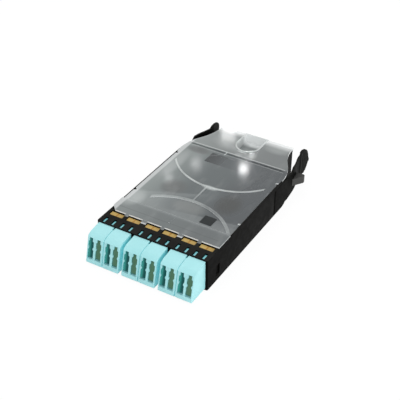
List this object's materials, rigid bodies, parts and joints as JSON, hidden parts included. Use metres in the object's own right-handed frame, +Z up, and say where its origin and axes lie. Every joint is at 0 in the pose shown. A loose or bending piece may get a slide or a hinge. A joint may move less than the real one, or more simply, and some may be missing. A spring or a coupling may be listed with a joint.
{
  "type": "fibre cassette",
  "caption": "Flat fibre cassette with shuttered aqua duplex adapters in front, a smoky clear cover and a squeeze lever with a catch on each side.",
  "frame": {"origin": "middle of the tray's flat underside", "axes": "+X to the right seen from the ports, +Y from the ports to the rear, +Z up through the cover"},
  "size_m": [0.0996, 0.1784, 0.0268],
  "materials": {
    "black": "satin moulded black",
    "smoky_clear": "hazy smoke-grey clear, glossy",
    "aqua": "semi-gloss aqua",
    "teal": "satin dark teal",
    "olive": "satin olive green",
    "amber": "satin amber",
    "catch_grey": "satin dark grey",
    "pad_grey": "matt dark grey",
    "ceramic": "polished white ceramic",
    "plug": "ivory plastic",
    "fibre": "coated fibre",
    "steel": "plain pin"
  },
  "bodies": {
    "cassette": {"base_tray": "black", "clear_cover": "smoky_clear", "adapter_1": "aqua", "adapter_2": "aqua", "adapter_3": "aqua", "adapter_4": "aqua", "adapter_5": "aqua", "adapter_6": "aqua", "sleeve_pair_1": "ceramic", "sleeve_pair_2": "ceramic", "sleeve_pair_3": "ceramic", "sleeve_pair_4": "ceramic", "sleeve_pair_5": "ceramic", "sleeve_pair_6": "ceramic", "inner_plugs_1": "plug", "inner_plugs_2": "plug", "inner_plugs_3": "plug", "inner_plugs_4": "plug", "inner_plugs_5": "plug", "inner_plugs_6": "plug", "label_1": "amber", "label_2": "amber", "label_3": "amber", "label_4": "amber", "label_5": "amber", "label_6": "amber", "plain_pad": "pad_grey", "fibre_harness": "fibre", "fanout_block": "black", "ribbon_lead": "fibre", "rear_adapter": "black", "inner_rear_plug": "plug", "left_hinge_pin": "steel", "right_hinge_pin": "steel"},
    "shutter_01": {"shutter_01": "teal"},
    "shutter_02": {"shutter_02": "olive"},
    "shutter_03": {"shutter_03": "teal"},
    "shutter_04": {"shutter_04": "olive"},
    "shutter_05": {"shutter_05": "teal"},
    "shutter_06": {"shutter_06": "olive"},
    "shutter_07": {"shutter_07": "teal"},
    "shutter_08": {"shutter_08": "olive"},
    "shutter_09": {"shutter_09": "teal"},
    "shutter_10": {"shutter_10": "olive"},
    "shutter_11": {"shutter_11": "teal"},
    "shutter_12": {"shutter_12": "olive"},
    "left_side_lever": {"left_lever": "black", "left_catch": "catch_grey"},
    "right_side_lever": {"right_lever": "black", "right_catch": "catch_grey"}
  },
  "joints": [
    {"name": "shutter_01_hinge", "type": "hinge", "parent": "cassette", "child": "shutter_01", "pos_m": [-0.03948, -0.08926, 0.02018], "axis": [1, 0, 0], "range_deg": [0, 85], "stiffness_Nm_per_rad": 0.0005, "springref_deg": -17.19},
    {"name": "shutter_02_hinge", "type": "hinge", "parent": "cassette", "child": "shutter_02", "pos_m": [-0.03322, -0.08926, 0.02018], "axis": [1, 0, 0], "range_deg": [0, 85], "stiffness_Nm_per_rad": 0.0005, "springref_deg": -17.19},
    {"name": "shutter_03_hinge", "type": "hinge", "parent": "cassette", "child": "shutter_03", "pos_m": [-0.0255, -0.08926, 0.02018], "axis": [1, 0, 0], "range_deg": [0, 85], "stiffness_Nm_per_rad": 0.0005, "springref_deg": -17.19},
    {"name": "shutter_04_hinge", "type": "hinge", "parent": "cassette", "child": "shutter_04", "pos_m": [-0.01925, -0.08926, 0.02018], "axis": [1, 0, 0], "range_deg": [0, 85], "stiffness_Nm_per_rad": 0.0005, "springref_deg": -17.19},
    {"name": "shutter_05_hinge", "type": "hinge", "parent": "cassette", "child": "shutter_05", "pos_m": [-0.01012, -0.08926, 0.02018], "axis": [1, 0, 0], "range_deg": [0, 85], "stiffness_Nm_per_rad": 0.0005, "springref_deg": -17.19},
    {"name": "shutter_06_hinge", "type": "hinge", "parent": "cassette", "child": "shutter_06", "pos_m": [-0.00386, -0.08926, 0.02018], "axis": [1, 0, 0], "range_deg": [0, 85], "stiffness_Nm_per_rad": 0.0005, "springref_deg": -17.19},
    {"name": "shutter_07_hinge", "type": "hinge", "parent": "cassette", "child": "shutter_07", "pos_m": [0.00386, -0.08926, 0.02018], "axis": [1, 0, 0], "range_deg": [0, 85], "stiffness_Nm_per_rad": 0.0005, "springref_deg": -17.19},
    {"name": "shutter_08_hinge", "type": "hinge", "parent": "cassette", "child": "shutter_08", "pos_m": [0.01012, -0.08926, 0.02018], "axis": [1, 0, 0], "range_deg": [0, 85], "stiffness_Nm_per_rad": 0.0005, "springref_deg": -17.19},
    {"name": "shutter_09_hinge", "type": "hinge", "parent": "cassette", "child": "shutter_09", "pos_m": [0.01925, -0.08926, 0.02018], "axis": [1, 0, 0], "range_deg": [0, 85], "stiffness_Nm_per_rad": 0.0005, "springref_deg": -17.19},
    {"name": "shutter_10_hinge", "type": "hinge", "parent": "cassette", "child": "shutter_10", "pos_m": [0.0255, -0.08926, 0.02018], "axis": [1, 0, 0], "range_deg": [0, 85], "stiffness_Nm_per_rad": 0.0005, "springref_deg": -17.19},
    {"name": "shutter_11_hinge", "type": "hinge", "parent": "cassette", "child": "shutter_11", "pos_m": [0.03322, -0.08926, 0.02018], "axis": [1, 0, 0], "range_deg": [0, 85], "stiffness_Nm_per_rad": 0.0005, "springref_deg": -17.19},
    {"name": "shutter_12_hinge", "type": "hinge", "parent": "cassette", "child": "shutter_12", "pos_m": [0.03948, -0.08926, 0.02018], "axis": [1, 0, 0], "range_deg": [0, 85], "stiffness_Nm_per_rad": 0.0005, "springref_deg": -17.19},
    {"name": "left_lever_hinge", "type": "hinge", "parent": "cassette", "child": "left_side_lever", "pos_m": [-0.0427, 0.0235, 0.012], "axis": [0, 0, -1], "range_deg": [0, 4.5], "stiffness_Nm_per_rad": 0.2, "springref_deg": -2.86},
    {"name": "right_lever_hinge", "type": "hinge", "parent": "cassette", "child": "right_side_lever", "pos_m": [0.0427, 0.0235, 0.012], "axis": [0, 0, 1], "range_deg": [0, 4.5], "stiffness_Nm_per_rad": 0.2, "springref_deg": -2.86}
  ]
}
